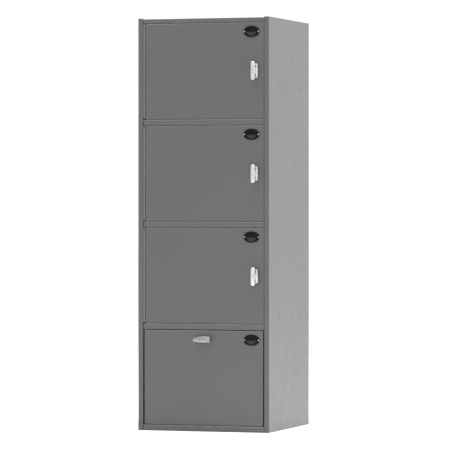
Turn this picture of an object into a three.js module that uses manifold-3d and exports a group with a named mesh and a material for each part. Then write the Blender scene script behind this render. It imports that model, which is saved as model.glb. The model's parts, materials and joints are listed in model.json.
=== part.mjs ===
// A steel parcel locker: one column of four compartments with three side-hung doors above a drop-down flap.
//
// Millimetres, +Z up. X runs across the front, Y from the front to the back.
// The origin is on the floor, in the middle of the space that the locker takes up, lock handles included.
import * as THREE from "three";
import { mergeVertices } from "three/addons/utils/BufferGeometryUtils.js";
import Module from "manifold-3d";

const wasm = await Module();
wasm.setup();

// ---------------------------------------------------------------- driving dimensions

const HEIGHT = 1800;
const WIDTH = 600;
const DEPTH = 600;

const SHEET = 1.2; // steel sheet thickness
const BEND = 2.3; // outside radius of every fold
const GAP = 0.3; // clearance between two pieces that touch
const SPILL = 1; // how far a cutting tool runs past the material

const STILE_WIDTH = 22.5; // front flange of a side panel
const STILE_DEPTH = 23; // how far that flange's return runs back, to the door jamb
const JAMB_WIDTH = 12; // flange that the doors close against
const REAR_FLANGE = 20;
const RECESS = 3; // doors and rails sit this far behind the stile fronts
const LIP_END_GAP = 1.4; // between the end of a front lip and the stile's return
const TOP_DROP = 2.4; // the top panel lies this far below the side panels' upper edges

const TOP_LIP = 20; // heights of the front lips
const SHELF_LIP = 25;
const BASE_LIP = 25;
const SHORT_RETURN = 12; // flange along the lower edge of the top and base lips
const TRAY_FLANGE = 12; // side and rear flanges of the shelves, top and base

const DOOR_GAP = 1.8; // above and below each side-hung door
const DOOR_LEFT = -268;
const DOOR_RIGHT = 276.4;
const FLAP_HALF_WIDTH = 272;
const FLAP_RISE = 4.8; // lower edge of the flap above the base panel
const FLAP_TOP_GAP = 3.2;
const PAN_DEPTH = 18;
const PAN_RETURN = 12;

const BARREL = 4; // hinge knuckle radius
const BARREL_BORE = 2.2;
const PIN_RADIUS = 1.8;
const PIN_HEAD = 3;
const KNUCKLE_GAP = 0.5;
const LEAF_START = 5; // leaves begin this far behind the hinge axis
const LEAF_END = 17;
const WEB_SHY = 0.1; // each face of a knuckle's web lies this far inside the leaf's
const LEAF_INSET = 3.2; // side-door leaves lie this far from the hinge axis
const FLAP_AXIS_DEPTH = SHEET + GAP + BARREL; // the flap's barrel lies right behind its skin
const FLAP_AXIS_RISE = 5.9; // flap hinge axis above the base panel
const FLAP_LEAF_INSET = FLAP_AXIS_RISE - GAP - SHEET; // the flap's frame leaf lies on the base panel
const DOOR_AXIS_X = -272.8;
const SIDE_KNUCKLES = 11;
const FLAP_KNUCKLES = 15;
const HINGE_END = 3; // a side hinge stops this far short of the door's ends
const FLAP_HINGE_HALF = 265;

const LOCK_X = 236;
const FLAP_LOCK_X = 1.7;
const FLAP_LOCK_DROP = 39.6; // lock centre below the flap's upper edge
const LOCK_SINK = 2; // a side door's lock sits this far below the middle of the door
const BAR_LENGTH = 79;
const BAR_WIDTH = 18.5;
const BAR_END_WIDTH = 15.5;
const BAR_THICK = 10.5;
const LOCK_REACH = 40; // front of the bar, measured from the door skin
const BOSS_RADIUS = 8.5;
const NECK_RADIUS = 9.5;
const NECK_FRONT = 20;
const PLATE_THICK = 10.5;
const PLATE_LENGTH = 61;
const PLATE_WIDTH = 28;
const PLATE_END_WIDTH = 24.5;
const THREAD_RADIUS = 8;
const THREAD_END = 10.5;
const SPINDLE_RADIUS = 4;
const SQUARE = 6; // square end of the spindle
const NUT_ACROSS_FLATS = 22;
const NUT_THICK = 5;
const CAM_FRONT = STILE_DEPTH - RECESS + SHEET + GAP; // just behind the door jamb
const CAM_THICK = 2.5;
const CAM_RADIUS = 8;
const CAM_REACH = 38;
const FLAP_CAM_REACH = 49;
const PLUG_RADIUS = 5.5;
const PLUG_DEPTH = 8.4;
const KEYWAY_DEPTH = 6;
const KEYWAY_HALF = 0.7;
const KEYWAY_REACH = 3.6;
const GROOVE_WIDTH = 3.2; // groove along the bar's upper half, which shows which way it points
const GROOVE_DEPTH = 0.8;
const GROOVE_MARGIN = 6;
const SCREW_HEAD = 2.6; // screw that holds the cam on the spindle's square end
const SCREW_HEAD_RADIUS = 5.5;
const LOCK_EDGE = 1.6; // rounding of the bar and of the base plate

const BADGE_X = 219.6;
const BADGE_DROP = 39.6; // number plate centre below the door's upper edge
const BADGE_HALF_WIDTH = 36.3;
const BADGE_HALF_HEIGHT = 24.3;
const BADGE_THICK = 3.2;
const BADGE_FLOOR = 1.2; // plate thickness under each rivet head
const RIVET_OFFSET = 31.4;
const RIVET_POCKET = 4.1;
const RIVET_HEAD = 3.4;
const RIVET_SHANK = 1.6;
const RIVET_HOLE = 1.9;

const TAB_WIDTH = 16; // guide tab on the lowest shelf lip, over the flap's lock
const TAB_DROP = 9.6;
const TAB_NOTCH = 20;

const BOLT_HOLE_RADIUS = 4.25; // holes that bolt one column to the next
const BOLT_HOLE_YS = [-140, 150];
const BOLT_HOLE_ZS = [498, 1500];

// ---------------------------------------------------------------- derived places

const FRONT = -DEPTH / 2;
const BACK = DEPTH / 2;
const DOOR_FRONT = FRONT + RECESS;
const DOOR_REAR = DOOR_FRONT + PAN_DEPTH;
const JAMB_FRONT = FRONT + STILE_DEPTH;
const JAMB_REAR = JAMB_FRONT + SHEET;
const SKIN_X = WIDTH / 2 - SHEET; // inner face of a side panel
const TRAY_X = SKIN_X - GAP;
const OPENING_X = WIDTH / 2 - STILE_WIDTH; // inner edge of a stile
const TRAY_BACK = BACK - 2 * SHEET - 2 * GAP;
const TOP_Z = HEIGHT - TOP_DROP;
const RELIEF_FRONT = FRONT + BEND + GAP / 3; // the stile's return is cut away at the top panel from here back

// Upper faces of the shelves, from the top one down.
const SHELF_TOPS = [1357.2, 912.8, 467.9];
const FLAP_BOTTOM = BASE_LIP + FLAP_RISE;
const FLAP_TOP = SHELF_TOPS[2] - SHELF_LIP - FLAP_TOP_GAP;
const FLAP_LOCK_Z = FLAP_TOP - FLAP_LOCK_DROP;
const FLAP_AXIS_Z = BASE_LIP + FLAP_AXIS_RISE;

// ---------------------------------------------------------------- materials

function finish(color, roughness, metalness) {
  return new THREE.MeshStandardMaterial({ color, roughness, metalness });
}

const PAINT = finish(0x8b8a8a, 0.5, 0.0);
const ZINC = finish(0xa9abad, 0.4, 1.0);
const CHROME = finish(0xd6d7d9, 0.18, 1.0);
const BLACK_PLASTIC = finish(0x202021, 0.42, 0.0);
const ALUMINIUM = finish(0xc9cacc, 0.35, 1.0);

// ---------------------------------------------------------------- solids

// A manifold solid of a closed three.js geometry.
function solid(geometry) {
  const plain = geometry.index ? geometry.toNonIndexed() : geometry;
  plain.deleteAttribute("normal");
  plain.deleteAttribute("uv");
  const merged = mergeVertices(plain, 1e-4);
  const vertProperties = merged.attributes.position.array;
  const triVerts = new Uint32Array(merged.index.array);
  return new wasm.Manifold(new wasm.Mesh({ numProp: 3, vertProperties, triVerts }));
}

function mesh(name, body, material) {
  const made = body.getMesh();
  const geometry = new THREE.BufferGeometry();
  geometry.setAttribute("position", new THREE.BufferAttribute(made.vertProperties, 3));
  geometry.setIndex(new THREE.BufferAttribute(made.triVerts, 1));
  const flat = geometry.toNonIndexed();
  flat.computeVertexNormals();
  const part = new THREE.Mesh(flat, material);
  part.name = name;
  return part;
}

function shapeOf(points) {
  return new THREE.Shape(points.map((p) => new THREE.Vector2(p[0], p[1])));
}

function extrude(shape, depth, options = {}) {
  return new THREE.ExtrudeGeometry(shape, { depth, bevelEnabled: false, curveSegments: 8, ...options });
}

// Extrusions of an outline: along Z from an (X, Y) outline, along X from (Y, Z), along Y from (X, Z).
function alongZ(points, low, high) {
  return solid(extrude(shapeOf(points), high - low).translate(0, 0, low));
}

function alongX(points, low, high) {
  const turn = new THREE.Matrix4().makeBasis(
    new THREE.Vector3(0, 1, 0),
    new THREE.Vector3(0, 0, 1),
    new THREE.Vector3(1, 0, 0),
  );
  return solid(extrude(shapeOf(points), high - low).applyMatrix4(turn).translate(low, 0, 0));
}

const UPRIGHT = new THREE.Matrix4().makeRotationX(Math.PI / 2);

function alongY(points, low, high) {
  return solid(extrude(shapeOf(points), high - low).applyMatrix4(UPRIGHT).translate(0, high, 0));
}

// An (X, Z) outline thickened along Y, with its front and back edges rounded off.
function cushioned(points, low, high, radius, segments) {
  const options = {
    bevelEnabled: true,
    bevelThickness: radius,
    bevelSize: radius,
    bevelOffset: -radius,
    bevelSegments: segments,
  };
  const geometry = extrude(shapeOf(points), high - low - 2 * radius, options);
  return solid(geometry.applyMatrix4(UPRIGHT).translate(0, high - radius, 0));
}

function box(x0, x1, y0, y1, z0, z1) {
  const geometry = new THREE.BoxGeometry(x1 - x0, y1 - y0, z1 - z0);
  return solid(geometry.translate((x0 + x1) / 2, (y0 + y1) / 2, (z0 + z1) / 2));
}

function rod(radius, y0, y1, sides, x = 0, z = 0) {
  const geometry = new THREE.CylinderGeometry(radius, radius, y1 - y0, sides);
  return solid(geometry.translate(x, (y0 + y1) / 2, z));
}

function rectangle(x0, x1, z0, z1) {
  return [[x0, z0], [x1, z0], [x1, z1], [x0, z1]];
}

function mirrored(points) {
  return points.map((p) => [-p[0], p[1]]);
}

// Outline of a sheet folded at right angles. The path is its outer face, the sheet lies on the right of it.
function folded(path, steps = 3) {
  const face = [];
  const behind = [];
  path.forEach((point, i) => {
    const here = new THREE.Vector2(...point);
    const before = i > 0 ? new THREE.Vector2(...path[i - 1]) : null;
    const after = i < path.length - 1 ? new THREE.Vector2(...path[i + 1]) : null;
    const arriving = before ? here.clone().sub(before).normalize() : null;
    const leaving = after ? after.clone().sub(here).normalize() : null;
    if (!before || !after) {
      const run = arriving || leaving;
      face.push([here.x, here.y]);
      behind.push([here.x + run.y * SHEET, here.y - run.x * SHEET]);
      return;
    }
    const sheetInside = arriving.cross(leaving) < 0;
    const faceRadius = sheetInside ? BEND : BEND - SHEET;
    const behindRadius = sheetInside ? BEND - SHEET : BEND;
    const centre = here.clone().addScaledVector(leaving, faceRadius);
    centre.addScaledVector(arriving, -faceRadius);
    for (let step = 0; step <= steps; step += 1) {
      const angle = (step / steps) * (Math.PI / 2);
      const out = arriving.clone().multiplyScalar(Math.sin(angle));
      out.addScaledVector(leaving, -Math.cos(angle));
      face.push([centre.x + out.x * faceRadius, centre.y + out.y * faceRadius]);
      behind.push([centre.x + out.x * behindRadius, centre.y + out.y * behindRadius]);
    }
  });
  return [...face, ...behind.reverse()];
}

// ---------------------------------------------------------------- carcass

// One sheet: skin, front stile with its return and door jamb, and rear flange. side is 1 right, -1 left.
function sidePanel(side) {
  const path = [
    [WIDTH / 2 - REAR_FLANGE, BACK],
    [WIDTH / 2, BACK],
    [WIDTH / 2, FRONT],
    [OPENING_X, FRONT],
    [OPENING_X, JAMB_FRONT],
    [OPENING_X - JAMB_WIDTH, JAMB_FRONT],
  ];
  const outline = folded(path);
  let panel = alongZ(side > 0 ? outline : mirrored(outline), 0, HEIGHT);
  const reliefInner = OPENING_X - JAMB_WIDTH - SPILL;
  const relief = rectangle(reliefInner, OPENING_X + BEND, RELIEF_FRONT, JAMB_REAR + SPILL);
  const reliefZ = TOP_Z - SHEET - GAP;
  panel = panel.subtract(alongZ(side > 0 ? relief : mirrored(relief), reliefZ, HEIGHT + SPILL));
  for (const y of BOLT_HOLE_YS) {
    for (const z of BOLT_HOLE_ZS) {
      const drill = new THREE.CylinderGeometry(BOLT_HOLE_RADIUS, BOLT_HOLE_RADIUS, 4 * SHEET, 14);
      drill.rotateZ(Math.PI / 2).translate((side * WIDTH) / 2, y, z);
      panel = panel.subtract(solid(drill));
    }
  }
  return panel;
}

// A horizontal sheet with a front lip, a return under the lip, and side and rear flanges turned down.
// wingsFrom is where the sheet widens behind the stiles to meet the side panels.
function tray(top, lip, lipReturn, wingsFrom) {
  const section = folded([
    [lipReturn, top - lip],
    [DOOR_FRONT, top - lip],
    [DOOR_FRONT, top],
    [TRAY_BACK, top],
    [TRAY_BACK, top - TRAY_FLANGE],
  ]);
  const lipHalf = OPENING_X - LIP_END_GAP;
  let body = alongX(section, -lipHalf, lipHalf);
  const wing = folded([
    [lipHalf - 2 * JAMB_WIDTH, top],
    [TRAY_X, top],
    [TRAY_X, top - TRAY_FLANGE],
  ]);
  const jambInner = OPENING_X - JAMB_WIDTH;
  const jamb = rectangle(jambInner - GAP, OPENING_X + JAMB_WIDTH, JAMB_FRONT - GAP, JAMB_REAR + GAP);
  for (const side of [1, -1]) {
    const outline = side > 0 ? wing : mirrored(wing);
    body = body.add(alongY(outline, wingsFrom, TRAY_BACK - BEND));
    if (wingsFrom > JAMB_REAR) {
      const notch = side > 0 ? jamb : mirrored(jamb);
      body = body.subtract(alongZ(notch, top - lip - SPILL, top + SPILL));
    }
  }
  return body;
}

function topPanel() {
  let body = tray(TOP_Z, TOP_LIP, DOOR_FRONT + SHORT_RETURN, DOOR_FRONT + BEND);
  const earInner = OPENING_X + GAP;
  for (const side of [1, -1]) {
    const ear = rectangle(earInner, TRAY_X - GAP, RELIEF_FRONT + GAP, DOOR_FRONT + 2 * BEND);
    body = body.add(alongZ(side > 0 ? ear : mirrored(ear), TOP_Z - SHEET, TOP_Z));
  }
  return body;
}

function basePanel() {
  return tray(BASE_LIP, BASE_LIP, DOOR_FRONT + SHORT_RETURN, JAMB_REAR + GAP);
}

function shelf(top) {
  return tray(top, SHELF_LIP, JAMB_REAR, JAMB_REAR + GAP);
}

// The lowest shelf also carries the tab that guides the flap's lock edge.
function lowerShelf(top) {
  const lipBottom = top - SHELF_LIP;
  const tabFront = DOOR_FRONT + SHEET + GAP;
  const tab = box(
    FLAP_LOCK_X - TAB_WIDTH / 2,
    FLAP_LOCK_X + TAB_WIDTH / 2,
    tabFront,
    tabFront + SHEET,
    lipBottom - TAB_DROP,
    lipBottom + SHEET / 2,
  );
  return shelf(top).add(tab);
}

function backPanel() {
  const half = SKIN_X - BEND;
  const front = TRAY_BACK + GAP;
  return box(-half, half, front, front + SHEET, GAP, TOP_Z - GAP);
}

// ---------------------------------------------------------------- doors

// A pan: skin, four flanges and the returns around its open back, drilled for the lock and the number plate.
function doorPan(door) {
  const outline = rectangle(door.left, door.right, door.bottom, door.top);
  let pan = cushioned(outline, DOOR_FRONT, DOOR_REAR, BEND, 3);
  pan = pan.subtract(
    box(
      door.left + SHEET,
      door.right - SHEET,
      DOOR_FRONT + SHEET,
      DOOR_REAR - SHEET,
      door.bottom + SHEET,
      door.top - SHEET,
    ),
  );
  pan = pan.subtract(
    box(
      door.left + PAN_RETURN,
      door.right - PAN_RETURN,
      DOOR_REAR - 2 * SHEET,
      DOOR_REAR + SPILL,
      door.bottom + PAN_RETURN,
      door.top - PAN_RETURN,
    ),
  );
  const skinFront = DOOR_FRONT - SPILL;
  const skinRear = DOOR_FRONT + SHEET + SPILL;
  pan = pan.subtract(rod(THREAD_RADIUS + GAP, skinFront, skinRear, 16, door.lockX, door.lockZ));
  for (const side of [1, -1]) {
    const x = BADGE_X + side * RIVET_OFFSET;
    pan = pan.subtract(rod(RIVET_HOLE, skinFront, skinRear, 8, x, door.top - BADGE_DROP));
  }
  return pan;
}

// The flap's upper flange is notched for the guide tab. Its lower edge has none: the hinge leaf backs it.
function flapPan(door) {
  const hingeRoom = box(
    door.left + SHEET,
    door.right - SHEET,
    DOOR_FRONT + SHEET,
    DOOR_REAR + SPILL,
    door.bottom - SPILL,
    door.bottom + PAN_RETURN + SPILL,
  );
  const notch = box(
    door.lockX - TAB_NOTCH / 2,
    door.lockX + TAB_NOTCH / 2,
    DOOR_FRONT + SHEET,
    DOOR_REAR + SPILL,
    door.top - PAN_RETURN - SPILL,
    door.top + SPILL,
  );
  return doorPan(door).subtract(notch).subtract(hingeRoom);
}

// Hat-section outline: u across, v back from the door skin.
function hatSection() {
  const crown = 20;
  const brim = 32;
  const rise = 12;
  return folded([[brim, 0], [crown, 0], [crown, rise], [-crown, rise], [-crown, 0], [-brim, 0]], 1);
}

const STIFFENER_END = 14; // clearance to the pan's returns

function uprightStiffener(door) {
  const centre = (door.left + door.right) / 2;
  const front = DOOR_FRONT + SHEET + GAP;
  const outline = hatSection().map(([u, v]) => [centre + u, front + v]);
  return alongZ(outline, door.bottom + STIFFENER_END, door.top - STIFFENER_END);
}

function levelStiffener(door) {
  const centre = (door.bottom + door.top) / 2;
  const front = DOOR_FRONT + SHEET + GAP;
  const outline = hatSection().map(([u, v]) => [front + v, centre + u]);
  return alongX(outline, door.left + STIFFENER_END, door.right - STIFFENER_END);
}

// ---------------------------------------------------------------- hinges
// A hinge is made along Z from the origin, frame side -X, door side +X, its leaves running back along +Y.

function ring(outerRadius, innerRadius, low, high) {
  const shape = new THREE.Shape();
  shape.absarc(0, 0, outerRadius, 0, 2 * Math.PI, false);
  const bore = new THREE.Path();
  bore.absarc(0, 0, innerRadius, 0, 2 * Math.PI, true);
  shape.holes.push(bore);
  return solid(extrude(shape, high - low, { curveSegments: 5 }).translate(0, 0, low));
}

// Outlines of a leaf that runs back beside the hinge axis, and of the web that joins it to its knuckles.
function rearwardLeaf(side, inset) {
  const outer = inset + SHEET;
  const joint = LEAF_START + SHEET / 2;
  const turn = inset - BARREL / 2;
  const plate = rectangle(inset, outer, LEAF_START, LEAF_END);
  const web = [
    [BARREL * 0.85, -SHEET / 2],
    [outer - WEB_SHY, turn],
    [outer - WEB_SHY, joint],
    [inset + WEB_SHY, joint],
    [inset + WEB_SHY, turn + SHEET / 2],
    [BARREL * 0.7, SHEET / 2],
  ];
  return side > 0 ? [plate, web] : [mirrored(plate), mirrored(web)];
}

// The same for a leaf that runs sideways, level with the front of its knuckles.
function sidewardLeaf() {
  const plate = rectangle(LEAF_START, LEAF_END, -BARREL, SHEET - BARREL);
  const web = rectangle(0, LEAF_START + SHEET / 2, WEB_SHY - BARREL, SHEET - WEB_SHY - BARREL);
  return [plate, web];
}

// first is 0 for the leaf that holds the end knuckles and 1 for the other.
function hingeLeaf(length, knuckles, first, [plate, web]) {
  let leaf = alongZ(plate, 0, length);
  const pitch = length / knuckles;
  for (let i = first; i < knuckles; i += 2) {
    const low = i * pitch + KNUCKLE_GAP / 2;
    const high = (i + 1) * pitch - KNUCKLE_GAP / 2;
    leaf = leaf.add(ring(BARREL, BARREL_BORE, low, high)).add(alongZ(web, low, high));
  }
  return leaf;
}

function hingePin(length) {
  const headLow = length + GAP;
  const headHigh = length + GAP + SHEET;
  const profile = [
    [0, GAP],
    [PIN_RADIUS, GAP],
    [PIN_RADIUS, headLow],
    [PIN_HEAD, headLow],
    [PIN_HEAD, headHigh],
    [0, headHigh],
  ];
  const geometry = new THREE.LatheGeometry(profile.map((p) => new THREE.Vector2(...p)), 10);
  return solid(geometry.rotateX(Math.PI / 2));
}

// ---------------------------------------------------------------- number plate

function ellipse(halfWidth, halfHeight, points) {
  return Array.from({ length: points }, (_, i) => {
    const angle = (2 * Math.PI * i) / points;
    return [halfWidth * Math.cos(angle), halfHeight * Math.sin(angle)];
  });
}

// Two sunk fields in front, and a pocket for a rivet at either end, open outwards.
// y is measured from the door skin, outwards is negative.
function numberPlate() {
  const back = -GAP;
  const front = back - BADGE_THICK;
  const bevel = 0.6;
  const rim = 5.5;
  const fieldDepth = 0.8;
  const bridge = 1.4; // half the bar between the two fields
  let plate = cushioned(ellipse(BADGE_HALF_WIDTH, BADGE_HALF_HEIGHT, 28), front, back, bevel, 1);
  const field = ellipse(RIVET_OFFSET - RIVET_POCKET - rim, BADGE_HALF_HEIGHT - rim, 24);
  const well = alongY(field, front - SPILL, front + fieldDepth);
  const end = BADGE_HALF_WIDTH + SPILL;
  const bar = box(-end, end, front - 2 * SPILL, front + 2 * SPILL, -bridge, bridge);
  plate = plate.subtract(well.subtract(bar));
  for (const side of [1, -1]) {
    const x = side * RIVET_OFFSET;
    plate = plate.subtract(rod(RIVET_POCKET, front - SPILL, back - BADGE_FLOOR, 14, x, 0));
    const [low, high] = side > 0 ? [x, end] : [-end, x];
    const mouth = box(low, high, front - SPILL, back - BADGE_FLOOR, -RIVET_POCKET, RIVET_POCKET);
    plate = plate.subtract(mouth);
    plate = plate.subtract(rod(RIVET_HOLE, front - SPILL, back + SPILL, 8, x, 0));
  }
  return plate;
}

// Domed head in front, formed tail behind the door skin.
function rivet() {
  const seat = -GAP - BADGE_FLOOR - GAP;
  const skinRear = SHEET + GAP;
  const dome = 1.5;
  const tail = 2;
  const profile = [
    [0, seat - dome],
    [RIVET_HEAD * 0.55, seat - dome * 0.8],
    [RIVET_HEAD * 0.88, seat - dome * 0.4],
    [RIVET_HEAD, seat],
    [RIVET_SHANK, seat],
    [RIVET_SHANK, skinRear],
    [RIVET_SHANK * 1.5, skinRear],
    [RIVET_SHANK * 1.5, skinRear + tail * 0.8],
    [0, skinRear + tail],
  ];
  return solid(new THREE.LatheGeometry(profile.map((p) => new THREE.Vector2(...p)), 8));
}

// ---------------------------------------------------------------- lock
// A lock is made around the Y axis, its bar upright, y measured from the door skin, outwards negative.

// Outline with straight ends and sides that swell towards the middle.
function barrelOutline(width, endWidth, length, steps) {
  const points = [];
  const side = new THREE.QuadraticBezierCurve(
    new THREE.Vector2(endWidth / 2, -length / 2),
    new THREE.Vector2(width - endWidth / 2, 0),
    new THREE.Vector2(endWidth / 2, length / 2),
  ).getPoints(steps);
  side.forEach((p) => points.push([p.x, p.y]));
  side.forEach((p) => points.push([-p.x, -p.y]));
  return points;
}

function lockBase() {
  const outline = barrelOutline(PLATE_WIDTH, PLATE_END_WIDTH, PLATE_LENGTH, 5);
  const back = -GAP;
  const front = back - PLATE_THICK;
  return cushioned(outline, front, back, LOCK_EDGE, 1)
    .add(rod(NECK_RADIUS, -NECK_FRONT, front + SPILL, 20))
    .add(rod(THREAD_RADIUS, back - SPILL, THREAD_END, 16))
    .subtract(rod(SPINDLE_RADIUS + GAP, -NECK_FRONT - SPILL, THREAD_END + SPILL, 12));
}

function lockNut() {
  const corner = NUT_ACROSS_FLATS / Math.sqrt(3);
  const low = SHEET + GAP;
  const high = low + NUT_THICK;
  return rod(corner, low, high, 6).subtract(rod(THREAD_RADIUS + GAP, low - SPILL, high + SPILL, 16));
}

function lockHandle() {
  const front = -LOCK_REACH;
  const back = front + BAR_THICK;
  const grooveLow = PLUG_RADIUS + GROOVE_MARGIN;
  const grooveHigh = BAR_LENGTH / 2 - GROOVE_MARGIN;
  const grooveHalf = GROOVE_WIDTH / 2;
  const headLow = CAM_FRONT + CAM_THICK + GAP;
  const outline = barrelOutline(BAR_WIDTH, BAR_END_WIDTH, BAR_LENGTH, 5);
  return cushioned(outline, front, back, LOCK_EDGE, 1)
    .subtract(rod(PLUG_RADIUS + GAP, front - SPILL, front + PLUG_DEPTH + 2 * GAP, 16))
    .subtract(box(-grooveHalf, grooveHalf, front - SPILL, front + GROOVE_DEPTH, grooveLow, grooveHigh))
    .add(rod(BOSS_RADIUS, back - SPILL, -NECK_FRONT - GAP, 20))
    .add(rod(SPINDLE_RADIUS, -NECK_FRONT - SPILL, CAM_FRONT - GAP, 12))
    .add(box(-SQUARE / 2, SQUARE / 2, CAM_FRONT - SPILL, headLow + SPILL, -SQUARE / 2, SQUARE / 2))
    .add(rod(SCREW_HEAD_RADIUS, headLow, headLow + SCREW_HEAD, 12));
}

function keyPlug() {
  const front = -LOCK_REACH + GAP;
  return rod(PLUG_RADIUS, front, front + PLUG_DEPTH, 16).subtract(
    box(-KEYWAY_HALF, KEYWAY_HALF, front - SPILL, front + KEYWAY_DEPTH, -KEYWAY_REACH, KEYWAY_REACH),
  );
}

function lockCam(reach) {
  const shape = new THREE.Shape();
  shape.absarc(0, 0, CAM_RADIUS, Math.PI, 2 * Math.PI, false);
  shape.absarc(0, reach - CAM_RADIUS, CAM_RADIUS, 0, Math.PI, false);
  shape.closePath();
  const outline = shape.extractPoints(5).shape.map((p) => [p.x, p.y]);
  const hole = SQUARE / 2 + GAP;
  return alongY(outline, CAM_FRONT, CAM_FRONT + CAM_THICK).subtract(
    box(-hole, hole, CAM_FRONT - SPILL, CAM_FRONT + CAM_THICK + SPILL, -hole, hole),
  );
}

// ---------------------------------------------------------------- assembly

const QUARTER = -Math.PI / 2; // turns a hinge or lock about Y so that its +Z points to -X and its +X up

function sideDoor(number, ceiling, floor) {
  const bottom = floor + DOOR_GAP;
  const top = ceiling - DOOR_GAP;
  return {
    number,
    left: DOOR_LEFT,
    right: DOOR_RIGHT,
    bottom,
    top,
    lockX: LOCK_X,
    lockZ: (bottom + top) / 2 - LOCK_SINK,
  };
}

const [upperTop, middleTop, lowerTop] = SHELF_TOPS;
const SIDE_DOORS = [
  sideDoor(1, TOP_Z - TOP_LIP, upperTop),
  sideDoor(2, upperTop - SHELF_LIP, middleTop),
  sideDoor(3, middleTop - SHELF_LIP, lowerTop),
];
const FLAP = {
  number: 4,
  left: -FLAP_HALF_WIDTH,
  right: FLAP_HALF_WIDTH,
  bottom: FLAP_BOTTOM,
  top: FLAP_TOP,
  lockX: FLAP_LOCK_X,
  lockZ: FLAP_LOCK_Z,
};

function carcass() {
  const group = new THREE.Group();
  group.add(
    mesh("left_side_panel", sidePanel(-1), PAINT),
    mesh("right_side_panel", sidePanel(1), PAINT),
    mesh("top_panel", topPanel(), PAINT),
    mesh("base_panel", basePanel(), PAINT),
    mesh("back_panel", backPanel(), PAINT),
    mesh("shelf_upper", shelf(upperTop), PAINT),
    mesh("shelf_middle", shelf(middleTop), PAINT),
    mesh("shelf_lower", lowerShelf(lowerTop), PAINT),
  );
  return group;
}

function hinge(name, length, knuckles, frameLeaf, doorLeaf) {
  const group = new THREE.Group();
  group.add(
    mesh(name + "_hinge_frame_leaf", hingeLeaf(length, knuckles, 0, frameLeaf), PAINT),
    mesh(name + "_hinge_door_leaf", hingeLeaf(length, knuckles, 1, doorLeaf), PAINT),
    mesh(name + "_hinge_pin", hingePin(length), ZINC),
  );
  return group;
}

function sideHinge(door) {
  const length = door.top - door.bottom - 2 * HINGE_END;
  const leaves = [rearwardLeaf(-1, LEAF_INSET), rearwardLeaf(1, LEAF_INSET)];
  const group = hinge("door_" + door.number, length, SIDE_KNUCKLES, ...leaves);
  group.position.set(DOOR_AXIS_X, DOOR_FRONT, door.bottom + HINGE_END);
  return group;
}

function flapHinge(door) {
  const length = 2 * FLAP_HINGE_HALF;
  const leaves = [rearwardLeaf(-1, FLAP_LEAF_INSET), sidewardLeaf()];
  const group = hinge("door_" + door.number, length, FLAP_KNUCKLES, ...leaves);
  group.rotation.y = QUARTER;
  group.position.set(FLAP_HINGE_HALF, DOOR_FRONT + FLAP_AXIS_DEPTH, FLAP_AXIS_Z);
  return group;
}

function lock(door, camReach) {
  const group = new THREE.Group();
  const name = "lock_" + door.number;
  group.add(
    mesh(name + "_base", lockBase(), CHROME),
    mesh(name + "_nut", lockNut(), ZINC),
    mesh(name + "_handle", lockHandle(), CHROME),
    mesh(name + "_plug", keyPlug(), CHROME),
    mesh(name + "_cam", lockCam(camReach), ZINC),
  );
  group.position.set(door.lockX, DOOR_FRONT, door.lockZ);
  return group;
}

function badge(door) {
  const group = new THREE.Group();
  const name = "number_plate_" + door.number;
  const left = mesh(name + "_rivet_left", rivet(), ALUMINIUM);
  const right = mesh(name + "_rivet_right", rivet(), ALUMINIUM);
  left.position.x = -RIVET_OFFSET;
  right.position.x = RIVET_OFFSET;
  group.add(mesh(name, numberPlate(), BLACK_PLASTIC), left, right);
  group.position.set(BADGE_X, DOOR_FRONT, door.top - BADGE_DROP);
  return group;
}

const locker = new THREE.Group();
const body = new THREE.Group();
body.position.y = (LOCK_REACH - RECESS) / 2;
body.add(carcass());
for (const door of SIDE_DOORS) {
  const name = "door_" + door.number;
  body.add(mesh(name + "_panel", doorPan(door), PAINT));
  body.add(mesh(name + "_stiffener", uprightStiffener(door), PAINT));
  body.add(sideHinge(door), badge(door), lock(door, CAM_REACH));
}
body.add(mesh("door_4_panel", flapPan(FLAP), PAINT));
body.add(mesh("door_4_stiffener", levelStiffener(FLAP), PAINT));
const flapLock = lock(FLAP, FLAP_CAM_REACH);
flapLock.rotation.y = QUARTER;
body.add(flapHinge(FLAP), badge(FLAP), flapLock);
locker.add(body);

export default locker;
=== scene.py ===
# A grey steel parcel locker: finishes for the CAD sheet metal, and finer locks, hinges, number plates
# and rivets. Small pieces are shaped in millimetres round their own origin and then put where the CAD
# frame says, in metres.
import json
import math

import bmesh
import bpy
from mathutils import Matrix, Vector


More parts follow.
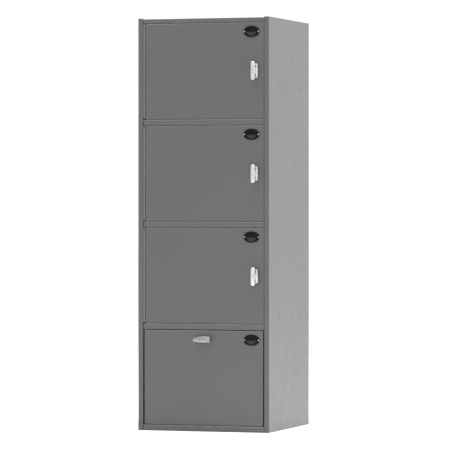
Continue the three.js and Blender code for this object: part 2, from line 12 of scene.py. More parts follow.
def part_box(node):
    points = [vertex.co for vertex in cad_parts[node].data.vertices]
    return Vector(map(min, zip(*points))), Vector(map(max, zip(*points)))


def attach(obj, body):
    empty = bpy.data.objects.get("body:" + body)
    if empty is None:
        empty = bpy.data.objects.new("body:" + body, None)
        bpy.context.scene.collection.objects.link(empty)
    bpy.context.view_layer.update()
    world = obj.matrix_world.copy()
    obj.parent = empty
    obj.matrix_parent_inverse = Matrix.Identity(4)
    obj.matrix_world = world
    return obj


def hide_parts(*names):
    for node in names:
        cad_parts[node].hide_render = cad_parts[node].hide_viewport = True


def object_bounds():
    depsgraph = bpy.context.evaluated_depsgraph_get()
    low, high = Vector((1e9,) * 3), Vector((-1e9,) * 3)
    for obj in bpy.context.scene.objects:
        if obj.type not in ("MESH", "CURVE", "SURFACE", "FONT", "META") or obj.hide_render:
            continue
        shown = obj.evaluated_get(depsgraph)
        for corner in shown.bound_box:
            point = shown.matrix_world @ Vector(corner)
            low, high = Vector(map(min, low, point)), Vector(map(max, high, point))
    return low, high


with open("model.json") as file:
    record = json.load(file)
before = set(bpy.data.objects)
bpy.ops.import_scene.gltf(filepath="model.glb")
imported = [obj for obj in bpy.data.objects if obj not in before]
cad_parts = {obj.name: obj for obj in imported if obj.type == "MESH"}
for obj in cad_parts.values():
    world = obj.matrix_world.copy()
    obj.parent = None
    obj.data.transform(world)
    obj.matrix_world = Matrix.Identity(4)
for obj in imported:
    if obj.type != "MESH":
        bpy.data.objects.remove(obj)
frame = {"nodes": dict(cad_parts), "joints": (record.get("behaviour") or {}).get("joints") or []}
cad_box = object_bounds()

MM = 0.001
JOINTS = {joint["name"]: joint for joint in frame["joints"]}
SIDE_DOORS = (1, 2, 3)
FLAP = 4
DOORS = (*SIDE_DOORS, FLAP)

PAINT_SLOT = "powder_coated_steel"
ZINC_SLOT = "zinc_plated_steel"
CHROME_SLOT = "chrome_plated_metal"
PLASTIC_SLOT = "black_plastic"
RIVET_SLOT = "aluminium_rivet"


# ---------------------------------------------------------------- materials

COLOUR_MIX_INPUTS = (0, 6, 7)  # sockets of a Mix node set to colour: share, first colour, second colour
COLOUR_MIX_OUTPUT = 2


class Shader:
    """A node material, built from named textures and one Principled surface."""

    def __init__(self, name):
        self.material = bpy.data.materials.new(name)
        self.material.use_nodes = True
        self.tree = self.material.node_tree
        self.surface = self.tree.nodes["Principled BSDF"]
        self.place = self.node("ShaderNodeTexCoord").outputs["Object"]

    def node(self, kind, inputs=None, **settings):
        made = self.tree.nodes.new(kind)
        for key, value in settings.items():
            setattr(made, key, value)
        for key, value in (inputs or {}).items():
            self.feed(made.inputs[key], value)
        return made

    def feed(self, socket, value):
        if isinstance(value, bpy.types.NodeSocket):
            self.tree.links.new(value, socket)
        else:
            socket.default_value = value

    def noise(self, scale, detail=2.0, roughness=0.5):
        inputs = {"Vector": self.place, "Scale": scale, "Detail": detail, "Roughness": roughness}
        return self.node("ShaderNodeTexNoise", inputs).outputs["Fac"]

    def spread(self, value, low=0.0, high=1.0, from_low=0.3, from_high=0.7):
        limits = {"From Min": from_low, "From Max": from_high, "To Min": low, "To Max": high}
        return self.node("ShaderNodeMapRange", {"Value": value, **limits}).outputs["Result"]

    def math(self, operation, first, second):
        return self.node("ShaderNodeMath", {0: first, 1: second}, operation=operation).outputs[0]

    def mix(self, share, first, second):
        made = self.node("ShaderNodeMix", data_type="RGBA")
        for index, value in zip(COLOUR_MIX_INPUTS, (share, first, second)):
            self.feed(made.inputs[index], value)
        return made.outputs[COLOUR_MIX_OUTPUT]

    def edges(self, radius, low, high):
        """0 on flat surfaces, rising to 1 along edges that a hand or a parcel would rub."""
        rounded = self.node("ShaderNodeBevel", {"Radius": radius}, samples=4).outputs["Normal"]
        straight = self.node("ShaderNodeNewGeometry").outputs["True Normal"]
        facing = self.node("ShaderNodeVectorMath", {0: rounded, 1: straight}, operation="DOT_PRODUCT")
        return self.spread(facing.outputs["Value"], 1.0, 0.0, low, high)

    def upward(self, low, high):
        """0 on upright faces, rising to 1 on those that lie face up on a closed locker."""
        normal = self.node("ShaderNodeTexCoord").outputs["Normal"]
        height = self.node("ShaderNodeSeparateXYZ", {0: normal}).outputs["Z"]
        return self.spread(height, 0.0, 1.0, low, high)

    def bump(self, height, strength, distance, under=None):
        inputs = {"Height": height, "Strength": strength, "Distance": distance}
        if under is not None:
            inputs["Normal"] = under
        return self.node("ShaderNodeBump", inputs).outputs["Normal"]

    def set(self, **values):
        for key, value in values.items():
            self.feed(self.surface.inputs[key.replace("_", " ")], value)
        return self.material


def grey(level, warmth=0.0):
    return (level * (1 + warmth), level, level * (1 - warmth), 1.0)


def powder_coat(name, base):
    """Grey paint with orange peel, rubbed pale on its edges, with a painted highlight on the folds that
    lean upwards.
    """
    s = Shader(name)
    mottle = s.spread(s.noise(5.0, 4.0, 0.55))
    speckle = s.spread(s.noise(1300.0, 1.0))
    shade = s.mix(mottle, grey(base, 0.008), grey(base * 1.06, 0.004))
    shade = s.mix(s.math("MULTIPLY", speckle, 0.18), shade, grey(0.10))
    worn = s.math("MULTIPLY", s.edges(0.0012, 0.72, 0.97), s.spread(s.noise(45.0, 3.0), 0.05, 0.4))
    shade = s.mix(worn, shade, grey(0.13))
    # painted highlight: the folds that lean upwards, but not flat tops, are mixed towards a pale grey as
    # if lit from above
    highlighted_fold = s.math("SUBTRACT", s.upward(0.03, 0.25), s.upward(0.9, 0.99))
    wear_and_painted_highlight = s.math("MULTIPLY", highlighted_fold, s.spread(s.noise(9.0, 4.0, 0.6), 0.7, 1.0))
    shade = s.mix(wear_and_painted_highlight, shade, grey(0.22))
    peel = s.noise(430.0, 2.0, 0.45)
    grain = s.noise(2100.0, 1.0)
    relief = s.bump(peel, 0.16, 0.0003)
    relief = s.bump(grain, 0.08, 0.00008, relief)
    gloss = s.spread(s.noise(26.0, 3.0, 0.6), 0.38, 0.47)
    return s.set(Base_Color=shade, Roughness=gloss, Normal=relief, Metallic=0.0, IOR=1.48)


def zinc_plate():
    s = Shader("zinc_plate")
    crystal = s.node("ShaderNodeTexVoronoi", {"Vector": s.place, "Scale": 260.0}).outputs["Distance"]
    shade = s.mix(s.spread(crystal, 0.0, 1.0, 0.0, 0.7), grey(0.50), (0.42, 0.425, 0.44, 1.0))
    gloss = s.spread(s.noise(180.0, 4.0, 0.6), 0.24, 0.44)
    relief = s.bump(s.noise(900.0, 2.0), 0.15, 0.0001)
    return s.set(Base_Color=shade, Roughness=gloss, Normal=relief, Metallic=1.0)


def chrome_plate(name, light, dark):
    s = Shader(name)
    shade = s.mix(s.spread(s.noise(70.0, 3.0)), grey(light, -0.01), grey(dark, -0.01))
    dull = s.math("MULTIPLY", s.edges(0.0009, 0.7, 0.97), 0.08)
    gloss = s.math("ADD", s.spread(s.noise(320.0, 4.0, 0.65), 0.24, 0.36), dull)
    relief = s.bump(s.noise(240.0, 2.0), 0.08, 0.0001)
    return s.set(Base_Color=shade, Roughness=gloss, Normal=relief, Metallic=1.0)


def black_plastic():
    s = Shader("black_plastic")
    shade = s.mix(s.spread(s.noise(120.0, 3.0)), grey(0.003), grey(0.006))
    wear_and_painted_highlight = s.math("MULTIPLY", s.edges(0.0007, 0.7, 0.97), 0.4)
    shade = s.mix(wear_and_painted_highlight, shade, grey(0.02))
    gloss = s.spread(s.noise(400.0, 3.0), 0.34, 0.48)
    relief = s.bump(s.noise(2600.0, 2.0), 0.25, 0.00006)
    return s.set(Base_Color=shade, Roughness=gloss, Normal=relief, Metallic=0.0, Specular_IOR_Level=0.08)


def label_grey():
    s = Shader("label_grey")
    shade = s.mix(s.spread(s.noise(300.0, 3.0)), grey(0.024), grey(0.034))
    relief = s.bump(s.noise(1800.0, 2.0), 0.3, 0.00005)
    return s.set(Base_Color=shade, Roughness=0.6, Normal=relief, Metallic=0.0, Specular_IOR_Level=0.12)


def rivet_aluminium():
    s = Shader("rivet_aluminium")
    shade = s.mix(s.spread(s.noise(600.0, 2.0)), grey(0.50), grey(0.36))
    gloss = s.spread(s.noise(900.0, 3.0), 0.32, 0.46)
    relief = s.bump(s.noise(1500.0, 2.0), 0.12, 0.00005)
    return s.set(Base_Color=shade, Roughness=gloss, Normal=relief, Metallic=1.0)


def floor_finish():
    s = Shader("pale_floor")
    shade = s.mix(s.noise(0.6, 2.0), grey(0.90), grey(0.92))
    return s.set(Base_Color=shade, Roughness=0.9)


FINISHES = {
    PAINT_SLOT: powder_coat("grey_powder_coat", 0.068),
    ZINC_SLOT: zinc_plate(),
    CHROME_SLOT: chrome_plate("soft_chrome", 0.64, 0.52),
    PLASTIC_SLOT: black_plastic(),
    RIVET_SLOT: rivet_aluminium(),
}
SHADED_CHROME = chrome_plate("shaded_chrome", 0.31, 0.23)  # a darker copy of the chrome for the flap's lock, painted shade for its duller reflections
LIT_HINGE_PAINT = powder_coat("hinge_paint_painted_highlight", 0.115)  # a paler copy of the powder coat, a painted highlight for the light the hinge knuckles catch
LABEL = label_grey()


# ---------------------------------------------------------------- shaping, in millimetres

def piece_of(name, bm):
    """A new object holding that bmesh, its faces turned outwards."""
    bmesh.ops.remove_doubles(bm, verts=bm.verts, dist=1e-5)
    bmesh.ops.recalc_face_normals(bm, faces=bm.faces)
    mesh = bpy.data.meshes.new(name)
    bm.to_mesh(mesh)
    bm.free()
    made = bpy.data.objects.new(name, mesh)
    bpy.context.scene.collection.objects.link(made)
    return made


def loft(rings):
    """A closed skin through rings of equally many points, flat at both ends."""
    bm = bmesh.new()
    loops = [[bm.verts.new(point) for point in ring] for ring in rings]
    count = len(loops[0])
    for near, far in zip(loops, loops[1:]):
        for i in range(count):
            j = (i + 1) % count
            bm.faces.new((near[i], near[j], far[j], far[i]))
    bm.faces.new(loops[0])
    bm.faces.new(list(reversed(loops[-1])))
    return bm


def inset_outline(outline, amount):
    """A convex anticlockwise outline moved inwards by that much."""
    moved = []
    count = len(outline)
    for i, (x, z) in enumerate(outline):
        before, after = outline[i - 1], outline[(i + 1) % count]
        along_a = Vector((x - before[0], z - before[1])).normalized()
        along_b = Vector((after[0] - x, after[1] - z)).normalized()
        inwards_a = Vector((-along_a.y, along_a.x))
        inwards_b = Vector((-along_b.y, along_b.x))
        bisector = (inwards_a + inwards_b).normalized()
        reach = amount / max(0.3, bisector.dot(inwards_a))
        moved.append((x + bisector.x * reach, z + bisector.y * reach))
    return moved


def pillow(name, outline, back, front, radius, crown=0.0, steps=6):
    """An (X, Z) outline thickened along Y, with a rounded front edge and a face domed by the crown."""
    rings = [[Vector((x, back, z)) for x, z in outline]]
    edge = front + crown
    for step in range(steps + 1):
        angle = math.pi / 2 * step / steps
        inner = inset_outline(outline, radius * (1 - math.cos(angle)))
        y = edge + radius * (1 - math.sin(angle))
        rings.append([Vector((x, y, z)) for x, z in inner])
    if crown:
        face = inset_outline(outline, radius)
        for share in (0.75, 0.5, 0.25, 0.05):
            y = edge - crown * (1 - share * share)
            rings.append([Vector((x * share, y, z * share)) for x, z in face])
    return piece_of(name, loft(rings))


AXIS_HOLE = 0.02  # a ring on the axis keeps this radius, so that its points stay apart


def turned(name, profile, sides=48):
    """A (radius, Y) profile turned round the Y axis."""
    angles = [2 * math.pi * i / sides for i in range(sides)]
    rings = []
    for radius, y in profile:
        reach = max(radius, AXIS_HOLE)
        rings.append([Vector((reach * math.cos(a), y, reach * math.sin(a))) for a in angles])
    return piece_of(name, loft(rings))


def prism(name, outline, low, high):
    """An (X, Z) outline thickened along Y."""
    return piece_of(name, loft([[Vector((x, y, z)) for x, z in outline] for y in (low, high)]))


def block(name, x, y, z):
    """A box between pairs of coordinates, used as a cutting tool or a rib."""
    return prism(name, [(x[0], z[0]), (x[1], z[0]), (x[1], z[1]), (x[0], z[1])], y[0], y[1])


def shifted(piece, x=0.0, z=0.0):
    piece.data.transform(Matrix.Translation((x, 0.0, z)))
    return piece


def combine(piece, other, operation):
    """Cuts other from piece, joins it on or keeps what they share, and throws other away."""
    modifier = piece.modifiers.new("boolean", "BOOLEAN")
    modifier.operation = operation
    modifier.solver = "EXACT"
    modifier.object = other
    graph = bpy.context.evaluated_depsgraph_get()
    result = bpy.data.meshes.new_from_object(piece.evaluated_get(graph))
    piece.modifiers.clear()
    old = piece.data
    piece.data = result
    bpy.data.meshes.remove(old)
    bpy.data.meshes.remove(other.data)
    return piece


def cut(piece, *tools):
    for tool in tools:
        combine(piece, tool, "DIFFERENCE")
    return piece


def join(piece, *others):
    for other in others:
        combine(piece, other, "UNION")
    return piece


def ellipse(half_width, half_height, count=72, low=0.0, high=2 * math.pi):
    closed = high - low >= 2 * math.pi
    steps = count if closed else count - 1
    angles = [low + (high - low) * i / steps for i in range(count)]
    return [(half_width * math.cos(a), half_height * math.sin(a)) for a in angles]


def swollen(width, end_width, length, corner, steps=20):
    """An upright outline with straight ends, rounded corners and sides that swell towards the middle."""
    def side(z):
        return end_width / 2 + (width - end_width) / 2 * (1 - (2 * z / length) ** 2)

    right = []
    for step in range(7):
        angle = math.pi / 2 * (step / 6 - 1)
        z = -length / 2 + corner + corner * math.sin(angle)
        right.append((side(-length / 2 + corner) - corner + corner * math.cos(angle), z))
    for step in range(1, steps):
        z = -length / 2 + corner + (length - 2 * corner) * step / steps
        right.append((side(z), z))
    right += [(x, -z) for x, z in reversed(right[:7])]
    return right + [(-x, -z) for x, z in right]


def soften(piece, width, segments=2, angle=35):
    """Rounds the sharp edges by that width in metres, and shades the faces between them evenly."""
    rounded = piece.modifiers.new("edge_rounding", "BEVEL")
    rounded.width = width
    rounded.segments = segments
    rounded.limit_method = "ANGLE"
    rounded.angle_limit = math.radians(angle)
    rounded.use_clamp_overlap = True
    evened = piece.modifiers.new("even_shading", "WEIGHTED_NORMAL")
    evened.keep_sharp = True
    evened.weight = 80


def finished(piece, slot, body, nodes, place, rounding=0.2, finish=None):
    """Puts a shaped piece in the frame, on its body, in its finish, in the stead of those CAD nodes."""
    piece.data.transform(place @ Matrix.Scale(MM, 4))
    for face in piece.data.polygons:
        face.use_smooth = True
    piece.data.materials.clear()
    piece.data.materials.append(finish or FINISHES[slot])
    soften(piece, rounding * MM)
    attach(piece, body)
    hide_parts(*nodes)
    return piece


# ---------------------------------------------------------------- CAD sheet metal

def dress_cad(node, slot, rounding):
    """Gives a CAD node its finish, with its facets joined and its sharp edges rounded."""
    piece = frame["nodes"][node]
    piece.data.materials.clear()
    piece.data.materials.append(FINISHES[slot])
    for face in piece.data.polygons:
        face.use_smooth = True
    welded = piece.modifiers.new("weld", "WELD")
    welded.merge_threshold = 1e-6
    merged = piece.modifiers.new("flat_faces", "DECIMATE")
    merged.decimate_type = "DISSOLVE"
    merged.angle_limit = math.radians(0.5)
    soften(piece, rounding * MM)


SHEET_EDGE = 0.3
CARCASS_NODES = (
    "left_side_panel",
    "right_side_panel",
    "top_panel",
    "base_panel",
    "back_panel",
    "shelf_upper",
    "shelf_middle",
    "shelf_lower",
)
for node in CARCASS_NODES:
    dress_cad(node, PAINT_SLOT, SHEET_EDGE)
for door in DOORS:
    dress_cad(f"door_{door}_panel", PAINT_SLOT, SHEET_EDGE)
    dress_cad(f"door_{door}_stiffener", PAINT_SLOT, SHEET_EDGE)
    dress_cad(f"door_{door}_hinge_pin", ZINC_SLOT, SHEET_EDGE)


# ---------------------------------------------------------------- places from the frame

QUARTER = Matrix.Rotation(-math.pi / 2, 4, "Y")  # lays the flap's lock and hinge level


def lock_place(door):
    axis = JOINTS[f"handle_{door}_turn"]["pos_m"]
    turn = QUARTER if door == FLAP else Matrix.Identity(4)
    return Matrix.Translation(axis) @ turn


def middle(node):
    low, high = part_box(node)
    return (low + high) / 2


# ---------------------------------------------------------------- locks
# Shaped round the Y axis with the bar upright; Y is measured from the door skin, outwards negative.

BAR_FRONT = -40.0
BAR_BACK = -29.5
BAR_WIDTH = 18.5
BAR_END_WIDTH = 15.5
BAR_LENGTH = 79.0
BAR_CORNER = 4.6
BAR_ROUNDING = 2.8
BAR_CROWN = 1.4
GROOVE_HALF = 1.5
GROOVE_DEPTH = 0.9
GROOVE_START = 12.0
GROOVE_END = 33.0
BOSS_RADIUS = 8.5
NECK_RADIUS = 9.5
NECK_FRONT = -20.0
PLATE_FRONT = -10.8
PLATE_BACK = -0.3
PLATE_CROWN = 3.2
PLATE_WIDTH = 28.0
PLATE_END_WIDTH = 24.5
PLATE_LENGTH = 61.0
PLATE_CORNER = 5.5
PLATE_ROUNDING = 3.4
THREAD_RADIUS = 8.0
THREAD_START = 1.0
THREAD_END = 10.5
THREAD_PITCH = 1.25
THREAD_DEPTH = 0.6
NUT_FLATS = 22.0
NUT_FRONT = 1.5
NUT_BACK = 6.5
SPINDLE_RADIUS = 4.0
CAM_FRONT = 21.5
CAM_BACK = 24.0
CAM_RADIUS = 8.0
SCREW_RADIUS = 5.5
SQUARE_HALF = 3.0
PLUG_RADIUS = 5.5
PLUG_DEPTH = 8.4
FIT = 0.3


def handle_shape(name):
    outline = swollen(BAR_WIDTH, BAR_END_WIDTH, BAR_LENGTH, BAR_CORNER)
    bar = pillow(name, outline, BAR_BACK, BAR_FRONT, BAR_ROUNDING, crown=BAR_CROWN)
    mouth = [
        (PLUG_RADIUS + FIT, BAR_FRONT + PLUG_DEPTH + 2 * FIT),
        (PLUG_RADIUS + FIT, BAR_FRONT + 1.2),
        (PLUG_RADIUS + 1.2, BAR_FRONT - 1),
    ]
    depth = (BAR_FRONT - 1, BAR_FRONT + GROOVE_DEPTH)
    round_end = [(GROOVE_HALF, y) for y in depth]
    groove = block("groove", (-GROOVE_HALF, GROOVE_HALF), depth, (GROOVE_START, GROOVE_END))
    start = shifted(turned("groove_start", round_end, 24), z=GROOVE_START)
    end = shifted(turned("groove_end", round_end, 24), z=GROOVE_END)
    cut(bar, turned("mouth", mouth), join(groove, start, end))
    shaft = turned(
        "shaft",
        [
            (BOSS_RADIUS, BAR_BACK - 1),
            (BOSS_RADIUS, NECK_FRONT - 0.9),
            (BOSS_RADIUS - 0.6, NECK_FRONT - FIT),
            (SPINDLE_RADIUS, NECK_FRONT - FIT),
            (SPINDLE_RADIUS, CAM_FRONT - FIT),
        ],
    )
    square = (-SQUARE_HALF, SQUARE_HALF)
    tip = block("tip", square, (CAM_FRONT - 2, CAM_BACK + 1), square)
    profile = [
        (SCREW_RADIUS, CAM_BACK + FIT),
        (SCREW_RADIUS, CAM_BACK + 2.0),
        (SCREW_RADIUS - 0.9, CAM_BACK + 2.9),
    ]
    head = turned("head", profile, 32)
    drive = block("drive", (-0.6, 0.6), (CAM_BACK + 1.9, CAM_BACK + 4), (-6, 6))
    return join(bar, shaft, tip, cut(head, drive))


def base_shape(name):
    outline = swollen(PLATE_WIDTH, PLATE_END_WIDTH, PLATE_LENGTH, PLATE_CORNER)
    plate = pillow(name, outline, PLATE_BACK, PLATE_FRONT, PLATE_ROUNDING, crown=PLATE_CROWN)
    neck = turned(
        "neck",
        [
            (NECK_RADIUS + 1.6, PLATE_FRONT + 1),
            (NECK_RADIUS + 1.6, PLATE_FRONT - 0.5),
            (NECK_RADIUS + 0.5, PLATE_FRONT - 1.0),
            (NECK_RADIUS, PLATE_FRONT - 2.2),
            (NECK_RADIUS, NECK_FRONT + 0.8),
            (NECK_RADIUS - 0.8, NECK_FRONT),
        ],
    )
    profile = [(THREAD_RADIUS, PLATE_BACK - 1)]
    turns = int((THREAD_END - THREAD_START - 0.5) / THREAD_PITCH)
    for turn in range(turns):
        y = THREAD_START + turn * THREAD_PITCH
        profile += [(THREAD_RADIUS, y), (THREAD_RADIUS - THREAD_DEPTH, y + THREAD_PITCH / 2)]
    profile += [(THREAD_RADIUS, THREAD_START + turns * THREAD_PITCH), (THREAD_RADIUS - 0.8, THREAD_END)]
    hole = SPINDLE_RADIUS + FIT
    bore = turned("bore", [(hole, NECK_FRONT - 1), (hole, THREAD_END + 1)])
    return cut(join(plate, neck, turned("thread", profile)), bore)


def nut_shape(name):
    corner = NUT_FLATS / math.sqrt(3)
    blank = prism(name, ellipse(corner, corner, 6), NUT_FRONT, NUT_BACK)
    chamfered = [
        (corner - 0.2, NUT_FRONT),
        (corner, NUT_FRONT + 0.6),
        (corner, NUT_BACK - 1.0),
        (corner - 1.6, NUT_BACK),
    ]
    combine(blank, turned("chamfer", chamfered), "INTERSECT")
    hole = THREAD_RADIUS + FIT
    return cut(blank, turned("bore", [(hole, NUT_FRONT - 1), (hole, NUT_BACK + 1)]))


def cam_shape(name, reach):
    lower = ellipse(CAM_RADIUS, CAM_RADIUS, 20, math.pi, 2 * math.pi)
    upper = [(x, z + reach - CAM_RADIUS) for x, z in ellipse(CAM_RADIUS, CAM_RADIUS, 20, 0, math.pi)]
    hole = SQUARE_HALF + FIT
    window = block("window", (-hole, hole), (CAM_FRONT - 1, CAM_BACK + 1), (-hole, hole))
    return cut(prism(name, lower + upper, CAM_FRONT, CAM_BACK), window)


def plug_shape(name):
    front = BAR_FRONT + FIT
    plug = turned(
        name,
        [
            (PLUG_RADIUS, front + PLUG_DEPTH),
            (PLUG_RADIUS, front + 0.5),
            (PLUG_RADIUS - 0.5, front),
            (PLUG_RADIUS - 1.4, front),
            (PLUG_RADIUS - 1.7, front + 0.25),
            (0.0, front + 0.25),
        ],
    )
    keyway = block("keyway", (-0.75, 0.75), (front - 1, front + 6), (-3.6, 3.6))
    ward = block("ward", (-1.5, 0.0), (front - 1, front + 6), (0.8, 1.9))
    return cut(plug, join(keyway, ward))


def reach_of_cam(door):
    low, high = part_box(f"lock_{door}_cam")
    size = high - low
    return max(size.x, size.z) / MM - CAM_RADIUS


for door in DOORS:
    place = lock_place(door)
    lock = f"lock_{door}"
    leaf = f"door_{door}"
    handle = f"handle_{door}"
    # the flap's lock takes the darker copy of the chrome, painted shade
    chrome = SHADED_CHROME if door == FLAP else None
    bar, base, nut = (f"{lock}_{part}" for part in ("handle", "base", "nut"))
    cam, plug = f"{lock}_cam", f"{lock}_plug"
    finished(handle_shape(f"{bar}_fine"), CHROME_SLOT, handle, [bar], place, 0.25, chrome)
    finished(base_shape(f"{base}_fine"), CHROME_SLOT, leaf, [base], place, 0.2, chrome)
    finished(nut_shape(f"{nut}_fine"), ZINC_SLOT, leaf, [nut], place, 0.15)
    finished(cam_shape(f"{cam}_fine", reach_of_cam(door)), ZINC_SLOT, handle, [cam], place, 0.35)
    finished(plug_shape(f"{plug}_fine"), CHROME_SLOT, f"plug_{door}", [plug], place, 0.12, chrome)


# ---------------------------------------------------------------- number plates and rivets

BADGE_HALF_WIDTH = 36.3
BADGE_HALF_HEIGHT = 24.3
BADGE_FRONT = -3.5
BADGE_BACK = -0.3
POCKET_FLOOR = -1.5
FIELD_DEPTH = 0.8
FIELD_HALF_WIDTH = 21.5
FIELD_HALF_HEIGHT = 18.8
FIELD_TILT = 0.13
RIB_HEIGHTS = (-5.0, -8.6, -12.2)
RIB_HALF = 0.7
RIVET_OFFSET = 31.4
RIVET_POCKET = 4.1
RIVET_HEAD = 3.4
RIVET_SEAT = -1.8
RIVET_SHANK = 1.6
RIVET_HOLE = 1.9


def field(name, upper):
    """The sunk half of the plate's face above or below the middle bar."""
    arc = ellipse(FIELD_HALF_WIDTH, FIELD_HALF_HEIGHT, 40, FIELD_TILT, math.pi - FIELD_TILT)
    outline = arc if upper else [(-x, -z) for x, z in arc]
    return prism(name, outline, BADGE_FRONT - 1, BADGE_FRONT + FIELD_DEPTH)


def badge_shape(name):
    plate = pillow(name, ellipse(BADGE_HALF_WIDTH, BADGE_HALF_HEIGHT), BADGE_BACK, BADGE_FRONT, 1.1)
    cut(plate, field("upper_field", True), field("lower_field", False))
    for side in (-1, 1):
        pocket = turned("pocket", [(RIVET_POCKET, BADGE_FRONT - 1), (RIVET_POCKET, POCKET_FLOOR)], 40)
        hole = turned("hole", [(RIVET_HOLE, POCKET_FLOOR - 1), (RIVET_HOLE, BADGE_BACK + 1)], 24)
        x = side * RIVET_OFFSET
        mouth_x = sorted((x, side * (BADGE_HALF_WIDTH + 1)))
        mouth = block("mouth", mouth_x, (BADGE_FRONT - 1, POCKET_FLOOR), (-RIVET_POCKET, RIVET_POCKET))
        cut(plate, join(shifted(pocket, x=x), mouth), shifted(hole, x=x))
    for z in RIB_HEIGHTS:
        half = 17.0 + z / 2
        depth = (BADGE_FRONT + 0.45, BADGE_FRONT + 1.2)
        join(plate, block("rib", (-half, half), depth, (z - RIB_HALF, z + RIB_HALF)))
    return plate


def label_faces(plate):
    """The faces of the lower field and its ribs, which carry the label."""
    low, high = BADGE_FRONT + 0.3, BADGE_FRONT + FIELD_DEPTH + 0.05

    def sunk(face):
        return low < face.center.y < high and face.center.z < -1 and face.normal.y < -0.9

    return [face.index for face in plate.data.polygons if sunk(face)]


def rivet_shape(name):
    angles = [math.radians(degrees) for degrees in range(60, -1, -12)]
    dimple = [(0.9, RIVET_SEAT - 0.9), (1.0, RIVET_SEAT - 1.45)]
    dome = [(RIVET_HEAD * math.cos(a), RIVET_SEAT - 1.5 * math.sin(a)) for a in angles]
    shank = [(RIVET_SHANK, RIVET_SEAT), (RIVET_SHANK, 1.5), (2.4, 1.5), (2.4, 2.8), (1.7, 3.4)]
    return turned(name, dimple + dome + shank, 28)


for door in DOORS:
    plate = f"number_plate_{door}"
    centre = middle(plate)
    skin = JOINTS[f"handle_{door}_turn"]["pos_m"][1]
    place = Matrix.Translation((centre.x, skin, centre.z))
    shaped = badge_shape(f"{plate}_fine")
    inlaid = label_faces(shaped)
    finished(shaped, PLASTIC_SLOT, f"door_{door}", [plate], place, 0.2)
    shaped.data.materials.append(LABEL)
    for index in inlaid:
        shaped.data.polygons[index].material_index = 1
    for side, offset in (("left", -RIVET_OFFSET), ("right", RIVET_OFFSET)):
        beside = place @ Matrix.Translation((offset * MM, 0, 0))
        node = f"{plate}_rivet_{side}"
        finished(rivet_shape(f"{node}_fine"), RIVET_SLOT, f"door_{door}", [node], beside, 0.1)


# ---------------------------------------------------------------- hinges
# Shaped along Z from the origin, the frame side towards -X and the door side towards +X.

BARREL = 4.0
CURL_INNER = 2.5
LEAF_START = 5.0
LEAF_END = 17.0
LEAF_THICK = 1.2
LEAF_INSET = 3.2
FLAP_LEAF_INSET = 4.4
KNUCKLE_GAP = 0.5
DOOR_KNUCKLES = 11
FLAP_KNUCKLES = 15


def roll(start, end, steps=26):
    """Section of a sheet rolled round the pin from one angle in degrees to another."""
    angles = [math.radians(start + (end - start) * i / steps) for i in range(steps + 1)]
    outer = [(BARREL * math.cos(a), BARREL * math.sin(a)) for a in angles]
    inner = [(CURL_INNER * math.cos(a), CURL_INNER * math.sin(a)) for a in reversed(angles)]
    return outer + inner


def rearward_leaf(inset):
    """Sections of a leaf that runs back beside the pin, and of its sheet that rolls round the pin."""
    outer, joint = inset + LEAF_THICK, LEAF_START + 0.6
    corner = 1.6 + inset - LEAF_INSET
    plate = [(inset, LEAF_START), (outer, LEAF_START), (outer, LEAF_END), (inset, LEAF_END)]
    curl = [(outer, joint), (outer, corner), *roll(10, -285), (inset, corner + 0.6), (inset, joint)]
    return plate, curl


def sideward_leaf():
    """The same for a leaf that runs sideways, level with the front of its knuckles."""
    front, rear, joint = -BARREL, -BARREL + LEAF_THICK, LEAF_START + 0.6
    plate = [(LEAF_START, front), (LEAF_END, front), (LEAF_END, rear), (LEAF_START, rear)]
    return plate, [(joint, front), *roll(-90, -375), (1.2, rear), (joint, rear)]


def along_z(name, outline, low, high, side):
    rings = [[Vector((side * x, y, z)) for x, y in outline] for z in (low, high)]
    return piece_of(name, loft(rings))


def leaf_shape(name, length, knuckles, first, side, sections):
    plate, curled = sections
    leaf = along_z(name, plate, 0.0, length, side)
    pitch = length / knuckles
    curls = bmesh.new()
    for i in range(first, knuckles, 2):
        low, high = i * pitch + KNUCKLE_GAP / 2, (i + 1) * pitch - KNUCKLE_GAP / 2
        curl = along_z("curl", curled, low, high, side)
        curls.from_mesh(curl.data)
        bpy.data.meshes.remove(curl.data)
    return join(leaf, piece_of("curls", curls))


def hinge_place(door):
    axis = Vector(JOINTS[f"door_{door}_hinge"]["pos_m"])
    low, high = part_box(f"door_{door}_hinge_frame_leaf")
    if door == FLAP:
        return Matrix.Translation((high.x, axis.y, axis.z)) @ QUARTER, (high.x - low.x) / MM
    return Matrix.Translation((axis.x, axis.y, low.z)), (high.z - low.z) / MM


for door in DOORS:
    place, length = hinge_place(door)
    knuckles = FLAP_KNUCKLES if door == FLAP else DOOR_KNUCKLES
    frame_leaf = f"door_{door}_hinge_frame_leaf"
    door_leaf = f"door_{door}_hinge_door_leaf"
    on_frame = rearward_leaf(FLAP_LEAF_INSET if door == FLAP else LEAF_INSET)
    on_door = sideward_leaf() if door == FLAP else rearward_leaf(LEAF_INSET)
    # both hinge leaves take the paler copy of the paint, a painted highlight
    shaped = leaf_shape(f"{frame_leaf}_fine", length, knuckles, 0, -1, on_frame)
    finished(shaped, PAINT_SLOT, "carcass", [frame_leaf], place, 0.15, LIT_HINGE_PAINT)
    shaped = leaf_shape(f"{door_leaf}_fine", length, knuckles, 1, 1, on_door)
    finished(shaped, PAINT_SLOT, f"door_{door}", [door_leaf], place, 0.15, LIT_HINGE_PAINT)


# ---------------------------------------------------------------- studio

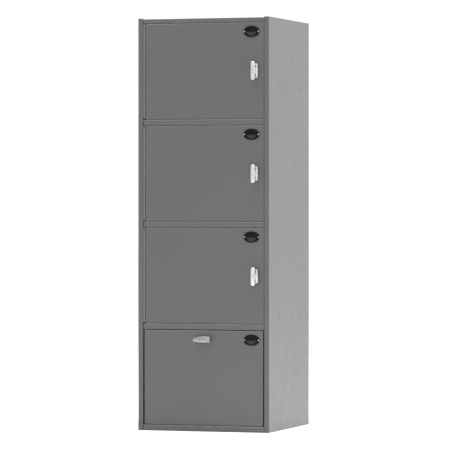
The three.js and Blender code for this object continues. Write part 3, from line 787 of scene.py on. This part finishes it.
FLOOR_HALF = 60.0
DAYLIGHT = 1.12
FOCAL_LENGTH = 261.4
CAMERA_TURN = math.radians(18.15)
CAMERA_PLACE = (-0.10537, -7.838, 0.5535)  # sideways, forwards and up, for a locker 1 high


def floor():
    bm = bmesh.new()
    bmesh.ops.create_grid(bm, x_segments=1, y_segments=1, size=FLOOR_HALF)
    made = piece_of("floor", bm)
    made.data.materials.append(floor_finish())


def area_light(name, place, aim, size, power):
    data = bpy.data.lights.new(name, "AREA")
    data.shape = "SQUARE"
    data.size = size
    data.energy = power
    made = bpy.data.objects.new(name, data)
    bpy.context.scene.collection.objects.link(made)
    made.location = place
    made.rotation_mode = "QUATERNION"
    made.rotation_quaternion = (Vector(aim) - Vector(place)).to_track_quat("-Z", "Y")


def studio():
    scene = bpy.context.scene
    scene.view_settings.view_transform = "Standard"
    world = bpy.data.worlds.new("studio")
    world.use_nodes = True
    background = world.node_tree.nodes["Background"].inputs
    background["Color"].default_value = (1, 1, 1, 1)
    background["Strength"].default_value = DAYLIGHT
    scene.world = world
    floor()
    area_light("key", place=(9.0, 1.7, 5.2), aim=(0.0, 0.0, 1.2), size=3.0, power=1290.0)
    area_light("overhead", place=(0.0, -1.4, 7.5), aim=(0.0, -0.6, 0.0), size=5.0, power=520.0)


def camera():
    low, high = cad_box
    sideways, forwards, up = ((high.z - low.z) * share for share in CAMERA_PLACE)
    carcass_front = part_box("right_side_panel")[0].y
    data = bpy.data.cameras.new("camera")
    data.sensor_width = 36.0
    data.lens = FOCAL_LENGTH
    data.shift_x = -0.0003
    data.shift_y = -0.0502
    data.clip_end = 200.0
    made = bpy.data.objects.new("camera", data)
    bpy.context.scene.collection.objects.link(made)
    made.location = (
        high.x + sideways * math.cos(CAMERA_TURN) - forwards * math.sin(CAMERA_TURN),
        carcass_front + sideways * math.sin(CAMERA_TURN) + forwards * math.cos(CAMERA_TURN),
        up,
    )
    made.rotation_euler = (math.pi / 2, 0.0, CAMERA_TURN)
    bpy.context.scene.camera = made


studio()
camera()
